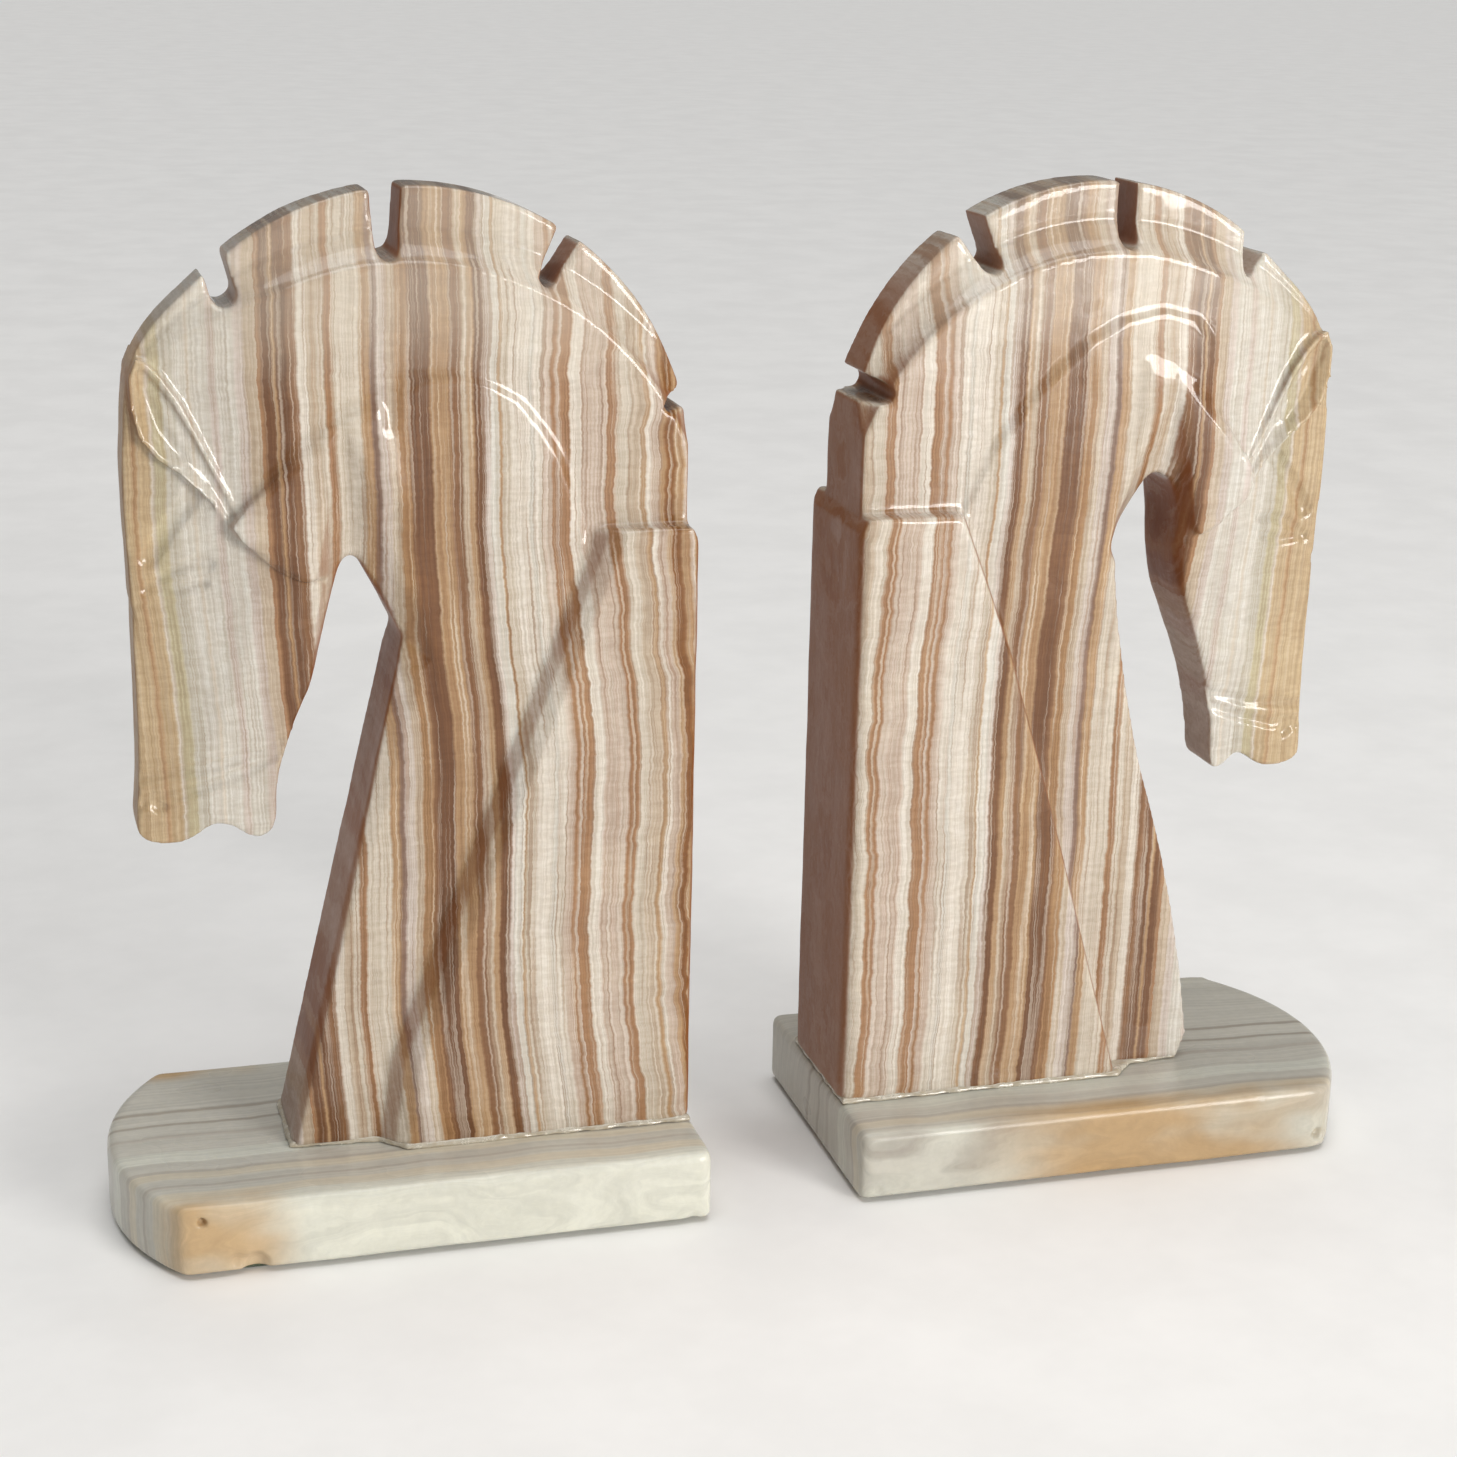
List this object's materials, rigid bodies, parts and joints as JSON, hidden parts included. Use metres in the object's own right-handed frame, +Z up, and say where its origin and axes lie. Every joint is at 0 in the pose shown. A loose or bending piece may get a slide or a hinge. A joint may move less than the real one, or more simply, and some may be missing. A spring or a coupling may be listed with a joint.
{
  "type": "pair of bookends",
  "caption": "Pair of mirrored bookends: a carved stone horse head with a notched mane and an upright rear block, doweled and glued to a stone base with one bowed end and a felt underside.",
  "frame": {"origin": "on the shelf, at the middle of the pair's footprint, halfway between the two bookends", "axes": "+X along the row of books, from the left bookend to the right one; +Y across the shelf, away from the front; +Z up"},
  "size_m": [0.286, 0.07, 0.22],
  "materials": {
    "banded_onyx": "polished banded onyx, brown, cream and amber",
    "pale_onyx": "polished pale green-grey onyx with amber clouds",
    "clear_resin": "clear cast resin adhesive",
    "dowel_steel": "plain steel rod",
    "felt": "dark green wool felt"
  },
  "bodies": {
    "left_bookend": {"left_base": "pale_onyx", "left_horse_head": "banded_onyx", "left_adhesive_bed": "clear_resin", "left_rear_dowel": "dowel_steel", "left_front_dowel": "dowel_steel", "left_felt_pad": "felt"},
    "right_bookend": {"right_base": "pale_onyx", "right_horse_head": "banded_onyx", "right_adhesive_bed": "clear_resin", "right_rear_dowel": "dowel_steel", "right_front_dowel": "dowel_steel", "right_felt_pad": "felt"}
  },
  "joints": [
    {"name": "pair_gap", "type": "slide", "parent": "left_bookend", "child": "right_bookend", "axis": [1, 0, 0], "range_m": [-0.033, 0.25]}
  ]
}
